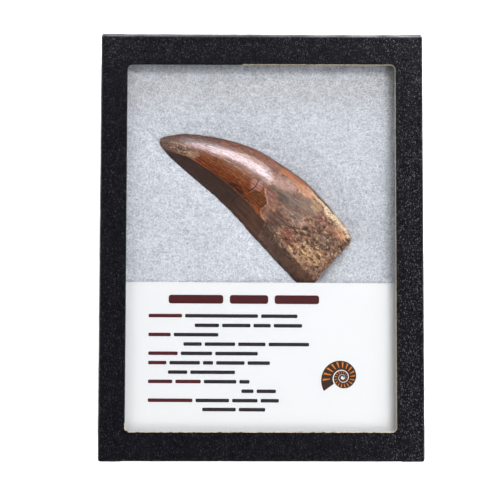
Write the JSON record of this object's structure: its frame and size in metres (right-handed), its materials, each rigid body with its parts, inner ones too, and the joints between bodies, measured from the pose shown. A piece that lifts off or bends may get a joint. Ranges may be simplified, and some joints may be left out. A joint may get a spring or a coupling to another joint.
{
  "type": "carcharodontosaurus tooth in a display case",
  "caption": "Fossil tooth, curved and flattened, with a broken base, laid on batting in a shallow black papered case with a glazed lid, a plain card and closing pins.",
  "frame": {"origin": "under the middle of the case, on the surface that its back rests on", "axes": "+Z out of the window, +Y to the case's upper end, above the tooth, +X to the case's right side"},
  "size_m": [0.1606, 0.211, 0.0254],
  "materials": {
    "lid_paper": "satin",
    "tray_paper": "satin",
    "glass": "polished",
    "batting": "matte",
    "card": "satin",
    "fossil": "gloss",
    "pin_steel": "satin"
  },
  "bodies": {
    "root": {"tray": "tray_paper", "lid": "lid_paper", "glass": "glass", "batting": "batting", "card": "card", "tooth": "fossil", "pin_left": "pin_steel", "pin_right": "pin_steel", "pin_top": "pin_steel", "pin_bottom": "pin_steel"}
  },
  "joints": []
}
